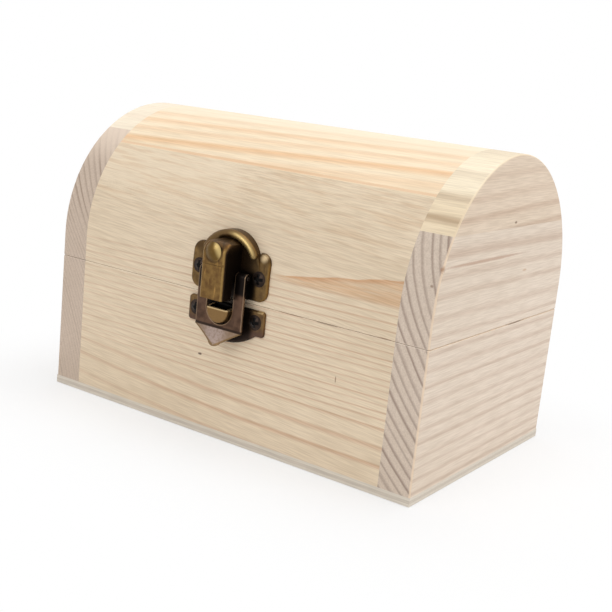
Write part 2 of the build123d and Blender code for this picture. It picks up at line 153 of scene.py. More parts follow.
def new_finish(name):
    """A new material, its network and its shader."""
    finish = bpy.data.materials.new(name)
    finish.use_nodes = True
    return finish, finish.node_tree, finish.node_tree.nodes["Principled BSDF"]


def put(tree, value, socket):
    if isinstance(value, bpy.types.NodeSocket):
        tree.links.new(value, socket)
    else:
        socket.default_value = value


def calc(tree, operation, first, second=None, third=None):
    node = tree.nodes.new("ShaderNodeMath")
    node.operation = operation
    for value, socket in zip((first, second, third), node.inputs):
        if value is not None:
            put(tree, value, socket)
    return node.outputs[0]


def move(tree, operation, first, second=None):
    """Vector arithmetic: the result is a place, or a length where that is what the operation gives."""
    node = tree.nodes.new("ShaderNodeVectorMath")
    node.operation = operation
    put(tree, first, node.inputs[0])
    if second is not None:
        put(tree, second, node.inputs["Scale" if operation == "SCALE" else 1])
    return node.outputs["Value" if operation == "LENGTH" else "Vector"]


def distance(tree, value, level):
    """How far a value is from a level, either way."""
    return calc(tree, "ABSOLUTE", calc(tree, "SUBTRACT", value, level))


def ease(tree, value, low, high, low_to=0.0, high_to=1.0):
    """Smooth step from low_to to high_to as the value goes from low to high."""
    node = tree.nodes.new("ShaderNodeMapRange")
    node.interpolation_type = "SMOOTHSTEP"
    for socket, given in zip(node.inputs, (value, low, high, low_to, high_to)):
        put(tree, given, socket)
    return node.outputs[0]


def spot(tree, value, low, high):
    """1 where a value is below low, and 0 above high."""
    return ease(tree, value, low, high, 1.0, 0.0)


def both(tree, *masks):
    """The product of masks and shares, so that it is 1 only where all of them are."""
    share = masks[0]
    for other in masks[1:]:
        share = calc(tree, "MULTIPLY", share, other)
    return share


def mix(tree, share, first, second, blend_type="MIX"):
    node = tree.nodes.new("ShaderNodeMix")
    node.data_type = "RGBA"
    node.blend_type = blend_type
    put(tree, share, node.inputs[0])
    put(tree, first, node.inputs[6])
    put(tree, second, node.inputs[7])
    return node.outputs[2]


def noise(tree, place, scale, detail=2.0, stretch=(1, 1, 1)):
    """Noise at so many waves a millimetre, drawn out where its stretch is below 1."""
    node = tree.nodes.new("ShaderNodeTexNoise")
    node.inputs["Scale"].default_value = scale
    node.inputs["Detail"].default_value = detail
    tree.links.new(move(tree, "MULTIPLY", place, stretch), node.inputs["Vector"])
    return node.outputs["Fac"]


def apart(tree, place):
    """The x, y and z of a place."""
    node = tree.nodes.new("ShaderNodeSeparateXYZ")
    tree.links.new(place, node.inputs[0])
    return node.outputs


def together(tree, x, y, z):
    node = tree.nodes.new("ShaderNodeCombineXYZ")
    for value, socket in zip((x, y, z), node.inputs):
        put(tree, value, socket)
    return node.outputs[0]


print("helpers ready")

# %% [markdown]
# The chest stands on a pale sheet. A plane is enough for it, because nothing of it shows but a soft shadow
# beside the chest. Further out the camera sees plain white, so that no horizon shows.

# %% Floor
SHEET_SIDE, SHEET_LEVEL = 6, -0.0002
SHADOW_REACH, WHITE_AT_FOOT = 0.07, 0.6


def deselect_all():
    if bpy.context.object and bpy.context.object.mode != "OBJECT":
        bpy.ops.object.mode_set(mode="OBJECT")
    bpy.ops.object.select_all(action="DESELECT")


deselect_all()
bpy.ops.mesh.primitive_plane_add(size=SHEET_SIDE, location=(0, 0, SHEET_LEVEL))
floor = bpy.context.object
floor.name = "floor"
floor_finish, tree, shader = new_finish("pale sheet")
shader.inputs["Base Color"].default_value = paint(254, 254, 254)
shader.inputs["Roughness"].default_value = 0.9
shader.inputs["Specular IOR Level"].default_value = 0.1
from_middle = move(tree, "ABSOLUTE", tree.nodes.new("ShaderNodeTexCoord").outputs["Object"])
chest_half = (cad_box[1][0], cad_box[1][1], 1.0)
outside = move(tree, "MAXIMUM", move(tree, "SUBTRACT", from_middle, chest_half), (0, 0, 0))
far = ease(tree, move(tree, "LENGTH", outside), 0.0, SHADOW_REACH, WHITE_AT_FOOT, 1.0)
bare = tree.nodes.new("ShaderNodeEmission")
bare.inputs["Color"].default_value = WHITE
blend = tree.nodes.new("ShaderNodeMixShader")
tree.links.new(calc(tree, "MULTIPLY", far, seen_or_mirrored(tree)), blend.inputs["Fac"])
tree.links.new(shader.outputs[0], blend.inputs[1])
tree.links.new(bare.outputs[0], blend.inputs[2])
tree.links.new(blend.outputs[0], tree.nodes["Material Output"].inputs["Surface"])
floor.data.materials.append(floor_finish)
print("floor", floor.name)

# %% [markdown]
# Pine shows the tree's growth rings: soft pale wood in spring, then a darker line in late summer. A board
# is a slice of that tree, so the honest way to paint it is solid: rings about the tree's middle, which may
# lie far outside the board. The same rings then run as long lines on one face and as curves on the end
# grain next to it, as they do on the real chest. A tree grows fast in some years and slowly in others, so
# the rings have up to three widths, one after another. The grain runs along X here.

# %% Growth rings
NUMBER, VECTOR = "NodeSocketFloat", "NodeSocketVector"
ENDLESS = 10000.0


def new_group(name, inputs, outputs):
    """A node group, with what it is given and what it gives out."""
    tree = bpy.data.node_groups.new(name, "ShaderNodeTree")
    for label, kind, value in inputs:
        socket = tree.interface.new_socket(name=label, in_out="INPUT", socket_type=kind)
        if value is not None:
            socket.default_value = value
    for label, kind in outputs:
        tree.interface.new_socket(name=label, in_out="OUTPUT", socket_type=kind)
    return tree, tree.nodes.new("NodeGroupInput").outputs, tree.nodes.new("NodeGroupOutput").inputs


def one_number_noise(tree, kind, value):
    node = tree.nodes.new(kind)
    node.noise_dimensions = "1D"
    tree.links.new(value, node.inputs["W"])
    return node


rings, given, out = new_group(
    "growth rings",
    [
        ("Place", VECTOR, None),
        ("Ring width", NUMBER, 2.0),
        ("Second years from", NUMBER, ENDLESS),
        ("Second ring width", NUMBER, 2.0),
        ("Third years from", NUMBER, ENDLESS),
        ("Third ring width", NUMBER, 2.0),
        ("Late share", NUMBER, 0.5),
        ("Evenness", NUMBER, 0.4),
        ("Wobble", NUMBER, 0.3),
        ("Unevenness", NUMBER, 0.8),
        ("Seed", NUMBER, 0.0),
    ],
    [("Late wood", NUMBER), ("Year", NUMBER)],
)
from_pith = move(rings, "LENGTH", move(rings, "MULTIPLY", given["Place"], (0, 1, 1)))
long_wave = calc(rings, "SUBTRACT", noise(rings, given["Place"], 0.045, 1.0, (0.22, 1, 1)), 0.5)
short_wave = calc(rings, "MULTIPLY_ADD", noise(rings, given["Place"], 0.35, 1.0, (0.12, 1, 1)), 0.22, -0.11)
radius = calc(rings, "MULTIPLY_ADD", calc(rings, "ADD", long_wave, short_wave), given["Wobble"], from_pith)
first = calc(rings, "MINIMUM", radius, given["Second years from"])
second = calc(rings, "MAXIMUM", radius, given["Second years from"])
second = calc(rings, "MINIMUM", second, given["Third years from"])
second = calc(rings, "SUBTRACT", second, given["Second years from"])
third = calc(rings, "MAXIMUM", calc(rings, "SUBTRACT", radius, given["Third years from"]), 0.0)
years = calc(rings, "DIVIDE", first, given["Ring width"])
for grown, width in ((second, given["Second ring width"]), (third, given["Third ring width"])):
    years = calc(rings, "ADD", years, calc(rings, "DIVIDE", grown, width))
uneven = one_number_noise(rings, "ShaderNodeTexNoise", calc(rings, "ADD", years, given["Seed"]))
uneven.inputs["Scale"].default_value = 0.6
uneven.inputs["Detail"].default_value = 1.0
early_or_late = calc(rings, "SUBTRACT", uneven.outputs["Fac"], 0.5)
years = calc(rings, "MULTIPLY_ADD", early_or_late, given["Unevenness"], years)
in_year = calc(rings, "FRACT", years)
year_number = calc(rings, "ADD", calc(rings, "FLOOR", years), given["Seed"])
year = one_number_noise(rings, "ShaderNodeTexWhiteNoise", year_number).outputs["Value"]
late_start = calc(rings, "SUBTRACT", 1.0, given["Late share"])
late_peak = calc(rings, "MULTIPLY_ADD", given["Late share"], -0.35, 1.0)
darkening = ease(rings, in_year, late_start, late_peak)
ending = ease(rings, in_year, late_peak, 1.0, 1.0, 0.0)
spread = calc(rings, "SUBTRACT", 1.0, given["Evenness"])
strength = calc(rings, "MULTIPLY_ADD", calc(rings, "SUBTRACT", year, 1.0), spread, 1.0)
put(rings, both(rings, darkening, ending, strength), out["Late wood"])
put(rings, year, out["Year"])
print(rings.name, "has", len(rings.nodes), "nodes")

# %% [markdown]
# A trunk is never quite straight, so the lines on a board drift: they climb or fall slowly along it, or
# sweep up towards one end. This group moves each place a little before the rings are drawn through it.

# %% Grain that drifts along the board
drift, given, out = new_group(
    "drifting grain",
    [
        ("Place", VECTOR, None),
        ("Climb above", NUMBER, 0.0),
        ("Fall below", NUMBER, 0.0),
        ("Sweep", NUMBER, 0.0),
        ("Sweep before", NUMBER, 0.0),
        ("Sweep reach", NUMBER, 100.0),
        ("Level from", NUMBER, -ENDLESS),
        ("Level to", NUMBER, -ENDLESS + 1),
    ],
    [("Place", VECTOR)],
)
x, y, z = apart(drift, given["Place"])
above = ease(drift, z, given["Level from"], given["Level to"])
below = calc(drift, "SUBTRACT", 1.0, above)
short_of = calc(drift, "MAXIMUM", calc(drift, "SUBTRACT", given["Sweep before"], x), 0.0)
inward = calc(drift, "DIVIDE", short_of, given["Sweep reach"])
sweep = calc(drift, "MULTIPLY", calc(drift, "POWER", inward, 2.0), given["Sweep"])
climb = calc(drift, "MULTIPLY", above, given["Climb above"])
slope = calc(drift, "SUBTRACT", climb, calc(drift, "MULTIPLY", below, given["Fall below"]))
rise = calc(drift, "ADD", calc(drift, "MULTIPLY", slope, x), calc(drift, "MULTIPLY", sweep, below))
put(drift, together(drift, x, y, calc(drift, "SUBTRACT", z, rise)), out["Place"])
print(drift.name, "has", len(drift.nodes), "nodes")

# %% [markdown]
# Sanded pine also has fine fibres, a few hair-thin dark pores and slow changes of tone. They are much finer
# than the rings and lie along the grain, so they are noise that is drawn out along X.

# %% Wood fibres
fibres, given, out = new_group(
    "wood fibres",
    [("Place", VECTOR, None), ("Slope", NUMBER, 0.0)],
    [("Fine", NUMBER), ("Coarse", NUMBER), ("Pore", NUMBER), ("Tone", NUMBER)],
)
x, y, z = apart(fibres, given["Place"])
sloped = together(fibres, x, y, calc(fibres, "MULTIPLY_ADD", x, given["Slope"], z))
put(fibres, noise(fibres, sloped, 2.4, 2.0, (0.04, 1, 1)), out["Fine"])
put(fibres, noise(fibres, sloped, 0.6, 2.0, (0.04, 1, 1)), out["Coarse"])
put(fibres, ease(fibres, noise(fibres, sloped, 2.6, 1.0, (0.05, 1, 1)), 0.68, 0.80), out["Pore"])
put(fibres, noise(fibres, given["Place"], 0.03, 2.0, (0.4, 1, 1)), out["Tone"])
print(fibres.name, "has", len(fibres.nodes), "nodes")

# %% [markdown]
# One recipe mixes these groups into a board's finish. What changes from board to board is where the middle
# of its tree lies, how the grain leans, how wide the rings are, and the tints. A board whose grain runs
# from front to back has its pattern turned by 90 degrees, and its narrow rim gets tones of its own: grey
# end grain at the front, or cream where the rim was planed round. Places in a finish are given in
# millimetres from here on.

# %% Recipe for a pine board
MM = 1000.0
PORE_TONE, PORE_SHARE = (160, 128, 98), 0.22


def use_group(tree, group, **values):
    node = tree.nodes.new("ShaderNodeGroup")
    node.node_tree = group
    for label, value in values.items():
        put(tree, value, node.inputs[label.replace("_", " ")])
    return node.outputs


def in_millimetres(tree):
    """The place on the part, in millimetres."""
    return move(tree, "SCALE", tree.nodes.new("ShaderNodeTexCoord").outputs["Object"], MM)


def facing(tree, axis):
    """How far a surface faces along an axis: 1 or -1 straight on, and 0 edge on."""
    return apart(tree, tree.nodes.new("ShaderNodeTexCoord").outputs["Normal"])["XYZ".index(axis)]


def squareness(tree, axis):
    """The same, from 0 to 1, for a surface that faces either way."""
    return calc(tree, "ABSOLUTE", facing(tree, axis))


def rim_share(tree, on_rim=1.0, on_face=0.0):
    """One share on the narrow rim of an end, and another on its broad face."""
    return ease(tree, squareness(tree, "X"), 0.55, 0.85, on_rim, on_face)


def in_tree(tree, place, pith=(0, 0), lean=(0, 0), along_y=False):
    """A place seen from the tree, with the grain along X and the pith at y = z = 0.

    lean tilts the trunk about Y and about Z, in degrees.
    """
    mapping = tree.nodes.new("ShaderNodeMapping")
    turn = (
        Matrix.Rotation(radians(lean[0]), 3, "Y")
        @ Matrix.Rotation(radians(lean[1]), 3, "Z")
        @ Matrix.Rotation(radians(-90 if along_y else 0), 3, "Z")
    )
    middle = Vector((pith[0], 0, pith[1])) if along_y else Vector((0, pith[0], pith[1]))
    mapping.inputs["Rotation"].default_value = turn.to_euler()
    mapping.inputs["Location"].default_value = -(turn @ middle)
    tree.links.new(place, mapping.inputs["Vector"])
    return mapping.outputs["Vector"]


def shade_by(tree, colour, value, span, dull, bright, share=1.0):
    """Multiplies a colour by a dull tone where a value is low, and by a bright one where it is high."""
    tone = mix(tree, ease(tree, value, *span), (*dull, 1), (*bright, 1))
    return mix(tree, share, colour, tone, "MULTIPLY")


def roughen(tree, shader, height, strength, depth):
    """Fine bumps that catch the light, of so many metres."""
    bump = tree.nodes.new("ShaderNodeBump")
    bump.inputs["Strength"].default_value = strength
    bump.inputs["Distance"].default_value = depth
    tree.links.new(height, bump.inputs["Height"])
    tree.links.new(bump.outputs[0], shader.inputs["Normal"])


def pine(name, pith, early, late, lean=(0, 0), along_y=False, contrast=(), grain=None, slope=0.0,
         fine=1.0, coarse=1.0, rim=None, rim_streaks=False, **ring_values):
    """The finish of a board, with a tone for the early wood and one for the late wood.

    contrast lists (axis, low, high, share at low, share at high) for the strength of the rings.
    rim gives an end's narrow rim two tones of its own, and rim_streaks turns its fibres across the rim.
    """
    finish, tree, shader = new_finish(name)
    place = in_millimetres(tree)
    drifted = use_group(tree, drift, Place=place, **grain)["Place"] if grain else place
    ring = use_group(tree, rings, Place=in_tree(tree, drifted, pith, lean, along_y), **ring_values)
    along = in_tree(tree, place, along_y=along_y)
    on_rim = rim_share(tree)
    if rim_streaks:
        along = mix(tree, on_rim, along, place)
    fibre = use_group(tree, fibres, Place=along, Slope=slope)
    tint = ring["Late wood"]
    for axis, *span in contrast:
        tint = calc(tree, "MULTIPLY", tint, ease(tree, apart(tree, place)["XYZ".index(axis)], *span))
    colour = mix(tree, tint, paint(*early), paint(*late))
    if rim:
        rim_early, rim_late = rim
        colour = mix(tree, on_rim, colour, mix(tree, tint, paint(*rim_early), paint(*rim_late)))
    colour = shade_by(tree, colour, fibre["Tone"], (0.3, 0.7), (0.97, 0.965, 0.95), (1.02, 1.02, 1.02))
    middle = (0.33, 0.67)
    colour = shade_by(tree, colour, fibre["Fine"], middle, (0.90, 0.885, 0.87), (1.07, 1.075, 1.08), fine)
    colour = shade_by(tree, colour, fibre["Coarse"], middle, (0.95, 0.94, 0.93), (1.03, 1.035, 1.04), coarse)
    colour = mix(tree, both(tree, fibre["Pore"], PORE_SHARE), colour, paint(*PORE_TONE))
    tree.links.new(colour, shader.inputs["Base Color"])
    put(tree, ease(tree, fibre["Fine"], 0.3, 0.7, 0.62, 0.5), shader.inputs["Roughness"])
    shader.inputs["Specular IOR Level"].default_value = 0.3
    roughen(tree, shader, fibre["Fine"], 0.2, 0.0002)
    return finish


def dress(finish, *nodes):
    for node in nodes:
        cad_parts[node].material_slots[0].material = finish


print("pine recipe ready")

# %% [markdown]
# The front was one board before the chest was sawn open, so box and lid share one finish and the lines
# carry on across the cut: wide rings at the foot, close ones above, and hardly any towards the arch.
# The crown is cut from the red heart of a tree, so its late wood is orange and drawn out into broad bands.

# %% Boards along the chest
wall_board = pine(
    "pine front and back", pith=(-50, -60), early=(233, 214, 187), late=(212, 178, 148),
    contrast=[("Z", 59.5, 63.5, 1.0, 0.15), ("X", -60, 5, 0.6, 1.0)], slope=0.075, fine=0.8, coarse=0.55,
    grain=dict(
        Climb_above=0.0095, Fall_below=0.01, Level_from=20, Level_to=27,
        Sweep=3.5, Sweep_before=30, Sweep_reach=87,
    ),
    Ring_width=6.46, Second_years_from=82.38, Second_ring_width=2.155, Third_years_from=111.5,
    Third_ring_width=2.7, Late_share=0.42, Evenness=0.55, Wobble=0.7, Unevenness=0.5, Seed=3.0,
)
crown_board = pine(
    "pine crown", pith=(-161.3, 90), early=(255, 235, 205), late=(245, 206, 163), lean=(0, -2.7),
    contrast=[("Z", 107.0, 109.8, 1.0, 0.7)], fine=0.55, coarse=0.7,
    Ring_width=5.35, Second_years_from=143.0, Second_ring_width=6.6,
    Late_share=0.88, Evenness=0.2, Wobble=0.9, Unevenness=0.3, Seed=307.0,
)
dress(wall_board, "body_front_board", "body_back_board", "lid_front_board", "lid_back_board")
dress(crown_board, "lid_top_board")
print("dressed the long boards")

# %% [markdown]
# The two ends have their grain from front to back. Each lid end is glued from two boards of different
# trees, which is why the rings on its front edge stop at one height.

# %% Boards of the ends
END_FACE, END_LINE = (232, 216, 199), (213, 191, 172)

right_end = pine(
    "pine right end", pith=(182, 118), early=END_FACE, late=END_LINE, along_y=True,
    rim=((220, 203, 187), (162, 141, 128)), fine=0.7, coarse=0.4,
    Ring_width=2.95, Late_share=0.58, Evenness=0.5, Wobble=0.9, Unevenness=0.5, Seed=7.0,
)
right_crest = pine(
    "pine right crest", pith=(74, -108.6), early=END_FACE, late=END_LINE, lean=(2.5, 0), along_y=True,
    rim=((255, 241, 214), (208, 186, 158)), rim_streaks=True, fine=0.75, coarse=0.5,
    contrast=[("Z", 94.5, 98.5, 1.0, 0.45)],
    Ring_width=6.3, Late_share=0.62, Evenness=0.9, Wobble=0.6, Unevenness=0.0, Seed=2.0,
)
left_end = pine(
    "pine left end", pith=(-229, -44), early=END_FACE, late=END_LINE, along_y=True,
    rim=((209, 190, 173), (156, 134, 118)), fine=0.6, coarse=0.4,
    contrast=[("Z", 60, 76, 0.4, 1.0), ("Z", 86, 98, 1.0, 0.5)],
    Ring_width=1.45, Second_years_from=191.0, Second_ring_width=2.3,
    Late_share=0.6, Evenness=0.35, Wobble=0.8, Unevenness=0.5, Seed=9.0,
)
left_crest = pine(
    "pine left crest", pith=(-74, -80), early=END_FACE, late=END_LINE, along_y=True,
    rim=((254, 240, 217), (249, 231, 208)), rim_streaks=True, fine=0.5, coarse=0.5,
    Ring_width=6.0, Late_share=0.4, Evenness=0.5, Wobble=0.8, Unevenness=0.4, Seed=4.0,
)
dress(right_end, "body_right_end", "lid_right_end_lower")
dress(right_crest, "lid_right_end_upper")
dress(left_end, "body_left_end", "lid_left_end_lower")
dress(left_crest, "lid_left_end_upper")
print("dressed the ends")

# %% [markdown]
# Some marks belong to one spot: the flame where a broad ring runs out of the lid's front, small dark knots
# and scratches, the line of glue under the crown, and a painted shadow on the wall behind the latch. Others
# follow the shape: wood beside the cut is painted paler to offset the shadow in the sawn gap, the rounded
# edges of the right end get a painted highlight, tones come and go with height, and the plane has left
# slanting streaks high on the front. Each is laid over a finished board through a mask, in the order in
# which they are listed.

# %% Marks on the boards
SEAM_Z, SEAM_REACH = 51.075, 0.4
FRONT, RIGHT = -50, 80

speck, given, out = new_group(
    "small mark",
    [("Place", VECTOR, None), ("Middle", VECTOR, None), ("Size", VECTOR, None)],
    [("Mask", NUMBER)],
)
shift = move(speck, "DIVIDE", move(speck, "SUBTRACT", given["Place"], given["Middle"]), given["Size"])
ragged = calc(speck, "MULTIPLY_ADD", noise(speck, given["Place"], 1.5, 2.0), 0.5, -0.25)
reach = calc(speck, "ADD", move(speck, "LENGTH", shift), ragged)
put(speck, spot(speck, reach, 0.5, 1.15), out["Mask"])


def tint_where(finish, mask, tone, share=1.0, blend_type="MIX"):
    """Lays a share of another tone over a finish where a mask is 1, or multiplies it in."""
    tree = finish.node_tree
    socket = tree.nodes["Principled BSDF"].inputs["Base Color"]
    if share < 1.0:
        mask = both(tree, mask, share)
    if not isinstance(tone, bpy.types.NodeSocket):
        tone = paint(*tone)
    tree.links.new(mix(tree, mask, socket.links[0].from_socket, tone, blend_type), socket)


def mark(finish, middle, size, tone, strength=1.0):
    """A small mark, from its middle and its half lengths, kept off the sawn faces that lie level."""
    tree = finish.node_tree
    mask = use_group(tree, speck, Place=in_millimetres(tree), Middle=middle, Size=size)["Mask"]
    upright = ease(tree, squareness(tree, "Z"), 0.85, 0.97, strength, 0.0)
    tint_where(finish, both(tree, mask, upright), tone)


def flame(finish, tip, rise, floor_z, tone, edge_tone):
    """A tongue of late wood on the front: it opens from a tip towards +x, darkest along its upper edge."""
    tree = finish.node_tree
    place = in_millimetres(tree)
    x, y, z = apart(tree, place)
    run = calc(tree, "MAXIMUM", calc(tree, "SUBTRACT", x, tip[0]), 0.0)
    waver = calc(tree, "MULTIPLY_ADD", noise(tree, place, 0.5, 3.0, (0.2, 1, 1)), 1.2, -0.6)
    top_z = calc(tree, "MULTIPLY_ADD", run, rise, tip[1])
    below_top = calc(tree, "SUBTRACT", top_z, calc(tree, "ADD", z, waver))
    upper_end = ease(tree, below_top, -0.1, 0.35)
    lower_end = ease(tree, z, floor_z - 0.5, floor_z + 1.4)
    streaks = ease(tree, noise(tree, place, 1.1, 3.0, (0.06, 0.3, 1)), 0.3, 0.62, 0.45, 1.0)
    front = spot(tree, y, -38.0, -36.0)
    opened = ease(tree, x, tip[0] - 7.0, tip[0] + 3.0)
    inside = both(tree, upper_end, lower_end, streaks, front, opened)
    tint_where(finish, inside, tone, blend_type="MULTIPLY")
    edge = both(tree, inside, ease(tree, below_top, 0.2, 2.2, 0.8, 0.0))
    tint_where(finish, edge, edge_tone, blend_type="MULTIPLY")


def tint_by_height(finish, low, high, at_low, at_high, tone, blend_type="MIX", only=None):
    """Another tone that comes or goes with height, all over, or only on the "face" or the "rim" of an end."""
    tree = finish.node_tree
    mask = ease(tree, apart(tree, in_millimetres(tree))[2], low, high, at_low, at_high)
    if only == "face":
        mask = both(tree, mask, rim_share(tree, 0.0, 1.0))
    elif only == "rim":
        mask = both(tree, mask, rim_share(tree))
    tint_where(finish, mask, tone, blend_type=blend_type)


def painted_edge_highlight(finish, tone, share):
    """The rounded edge between an end's face and its rim, with a painted highlight."""
    tree = finish.node_tree
    square = squareness(tree, "X")
    tint_where(finish, both(tree, ease(tree, square, 0.1, 0.35), spot(tree, square, 0.8, 0.98)), tone, share)


def slanting_streaks(finish, low, high, strength, slope, tone):
    """Broad streaks across the grain's run, left by the plane, that set in with height."""
    tree = finish.node_tree
    x, y, z = apart(tree, in_millimetres(tree))
    sloped = together(tree, x, y, calc(tree, "MULTIPLY_ADD", x, slope, z))
    streaks = ease(tree, noise(tree, sloped, 0.75, 3.0, (0.05, 1, 1)), 0.48, 0.66)
    set_in = ease(tree, z, low, high, 0.0, strength)
    tint_where(finish, both(tree, streaks, set_in), tone, blend_type="MULTIPLY")


def seam_painted_light(finish, tone, share):
    """Wood beside the cut, painted paler to offset the shadow in the sawn gap."""
    tree = finish.node_tree
    away = distance(tree, apart(tree, in_millimetres(tree))[2], SEAM_Z)
    tint_where(finish, spot(tree, away, 0.6 * SEAM_REACH, SEAM_REACH), tone, share)


# painted light beside the cut, to offset the shadow in the sawn gap
seam_painted_light(wall_board, (250, 236, 214), 0.6)
seam_painted_light(left_end, (226, 210, 194), 0.6)
seam_painted_light(right_end, (246, 232, 216), 0.55)
flame(wall_board, tip=(24.0, 63.4), rise=0.158, floor_z=61.1, tone=(243, 224, 208), edge_tone=(240, 216, 198))
# painted shadow on the wall behind the latch
mark(wall_board, (1.8, FRONT, 51.2), (9.0, 3, 3.2), (40, 30, 23), 0.95)
mark(wall_board, (28.0, FRONT, 51.0), (6.0, 3, 0.22), (176, 138, 112), 0.7)
mark(wall_board, (42.5, FRONT, 50.9), (5.0, 3, 0.22), (150, 130, 110), 0.7)
mark(wall_board, (64.0, FRONT, 51.2), (3.0, 3, 0.22), (160, 120, 95), 0.8)
mark(wall_board, (-45.0, -38, 91.0), (48, 40, 14), (250, 232, 205), 0.45)
mark(wall_board, (-8.9, FRONT, 28.7), (0.9, 3, 0.45), (90, 70, 60), 0.9)
mark(wall_board, (48.0, FRONT, 33.8), (0.25, 3, 1.3), (150, 120, 95), 0.8)
mark(crown_board, (0, -35.2, 95.9), (900, 3, 0.5), (230, 184, 140), 0.55)
slanting_streaks(wall_board, 68.0, 78.0, 0.6, 0.09, (240, 229, 219))
# painted highlight along the rounded edges of the right end
painted_edge_highlight(right_end, (243, 218, 190), 0.75)
painted_edge_highlight(right_crest, (252, 234, 204), 0.6)
tint_by_height(crown_board, 105.5, 109.6, 0.0, 0.5, (255, 245, 220))
tint_by_height(right_crest, 92.0, 100.0, 0.9, 0.0, (240, 233, 225), "MULTIPLY", only="rim")
tint_by_height(right_crest, 80.0, 110.0, 1.0, 1.0, (252, 248, 242), "MULTIPLY", only="face")
tint_by_height(left_end, 84.0, 101.0, 0.0, 0.7, (248, 228, 208), only="rim")
mark(right_crest, (RIGHT, 1.1, 87.2), (3, 1.1, 0.5), (120, 92, 68), 0.8)
mark(right_end, (RIGHT, 13.0, 51.0), (3, 8.0, 0.3), (128, 100, 80), 0.7)
mark(right_end, (RIGHT, -18.0, 76.1), (3, 33.0, 0.6), (190, 154, 130), 0.7)
mark(right_end, (RIGHT, 14.4, 69.7), (3, 1.9, 0.45), (200, 162, 124), 0.6)
mark(right_end, (79, FRONT, 84.0), (1.3, 4, 1.0), (110, 84, 66), 0.8)
mark(right_end, (79.6, -49, 76.0), (1.0, 3, 1.6), (160, 118, 88), 0.7)
mark(right_end, (77.5, FRONT, 70.5), (0.7, 3, 0.6), (140, 112, 92), 0.7)
print("marks drawn")

# %% [markdown]
# The base is thin plywood. Only its edge shows: three plies, the middle one a shade darker because its
# grain runs the other way. Bands of height in the node network are enough for that.

# %% Plywood base
plywood, tree, shader = new_finish("plywood base")
place = in_millimetres(tree)
fibre = use_group(tree, fibres, Place=place)
level = calc(tree, "MULTIPLY_ADD", noise(tree, place, 0.2, 1.0), 0.25, apart(tree, place)[2])
middle_ply = both(tree, ease(tree, level, 1.0, 1.15), spot(tree, level, 2.05, 2.2))
colour = mix(tree, middle_ply, paint(226, 216, 202), paint(213, 202, 187))
colour = shade_by(tree, colour, fibre["Fine"], (0.3, 0.7), (0.9, 0.9, 0.9), (1.05, 1.05, 1.05))
tree.links.new(colour, shader.inputs["Base Color"])
shader.inputs["Roughness"].default_value = 0.65
dress(plywood, "base_panel")
print("dressed the base")

# %% [markdown]
# The loop is stamped from sheet. The solid part has plain edges, so the loop is shaped further here: a copy
# is welded into one closed skin, its flat faces are cleaned of their triangles, and a narrow bevel gives the
# light an edge to catch.

# %% Loop with softened edges
def softened_copy(node, name, body, width):
    piece = bpy.data.objects.new(name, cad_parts[node].data.copy())
    bpy.context.scene.collection.objects.link(piece)
    deselect_all()
    piece.select_set(True)
    bpy.context.view_layer.objects.active = piece
    bpy.ops.object.mode_set(mode="EDIT")
    bpy.ops.mesh.select_all(action="SELECT")
    bpy.ops.mesh.remove_doubles(threshold=1e-6)
    bpy.ops.mesh.dissolve_limited(angle_limit=radians(1))
    bpy.ops.object.mode_set(mode="OBJECT")
    bevel = piece.modifiers.new("soft edge", "BEVEL")
    bevel.width = width
    bevel.segments = 2
    bevel.limit_method = "ANGLE"
    bevel.angle_limit = radians(50)
    bpy.ops.object.modifier_apply(modifier=bevel.name)
    bpy.ops.object.shade_smooth_by_angle(angle=radians(35))
    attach(piece, body)
    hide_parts(node)
    print(name, "has", len(piece.data.polygons), "faces")
    return piece


soft_loop = softened_copy("latch_loop", "loop_with_soft_edges", "loop", 0.00018)

# %% [markdown]
# Antique brass is plated, darkened and then rubbed, which leaves it mottled and finely scratched. One group
# gives the mottling and fine scratches, and each metal mixes its own tones by them. The bright rims, edges
# and boss are painted highlights, and the brown-black hollows and places beside other parts are painted
# shade, each laid on through a mask.
# The pieces of the latch lie around one upright middle line, so their masks are measured from it. Where a
# mask takes two numbers, its soft edge lies between them.

# %% Rubbed metal
rubbed, given, out = new_group(
    "rubbed metal",
    [("Place", VECTOR, None)],
    [("Mottle", NUMBER), ("Scratch", NUMBER), ("Grain", NUMBER)],
)
scratched = noise(rubbed, given["Place"], 1.6, 2.0, (1.0, 1.0, 0.15))
put(rubbed, ease(rubbed, noise(rubbed, given["Place"], 0.45, 3.0), 0.3, 0.7), out["Mottle"])
put(rubbed, ease(rubbed, scratched, 0.60, 0.74), out["Scratch"])
put(rubbed, noise(rubbed, given["Place"], 3.0, 3.0), out["Grain"])


def metal(name, bright, dark, scratches=0.25, metallic=0.85):
    finish, tree, shader = new_finish(name)
    rub = use_group(tree, rubbed, Place=in_millimetres(tree))
    colour = mix(tree, rub["Mottle"], paint(*dark), paint(*bright))
    worn = paint(*[min(255, v * 1.3) for v in bright])
    colour = mix(tree, both(tree, rub["Scratch"], scratches), colour, worn)
    tree.links.new(colour, shader.inputs["Base Color"])
    shader.inputs["Metallic"].default_value = metallic
    put(tree, ease(tree, rub["Grain"], 0.3, 0.7, 0.3, 0.48), shader.inputs["Roughness"])
    roughen(tree, shader, rub["Grain"], 0.25, 0.0001)
    return finish


plate_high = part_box("latch_upper_plate")[1]
hood_low, hood_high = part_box("latch_hood")
latch_x = MM * (hood_low.x + hood_high.x) / 2
plate_y = MM * hood_high.y


def around_latch(finish):
    """The network of a finish, and each place on it: whole, sideways from the latch's middle, y and z."""
    tree = finish.node_tree
    place = in_millimetres(tree)
    x, y, z = apart(tree, place)
    return tree, place, calc(tree, "SUBTRACT", x, latch_x), y, z


def from_axis(tree, place, middle_x, middle_z):
    """How far a place is from a line that runs front to back."""
    away = move(tree, "SUBTRACT", place, (middle_x, 0, middle_z))
    return move(tree, "LENGTH", move(tree, "MULTIPLY", away, (1, 0, 1)))


print("latch middle", round(latch_x, 2), "plate face", round(plate_y, 2))
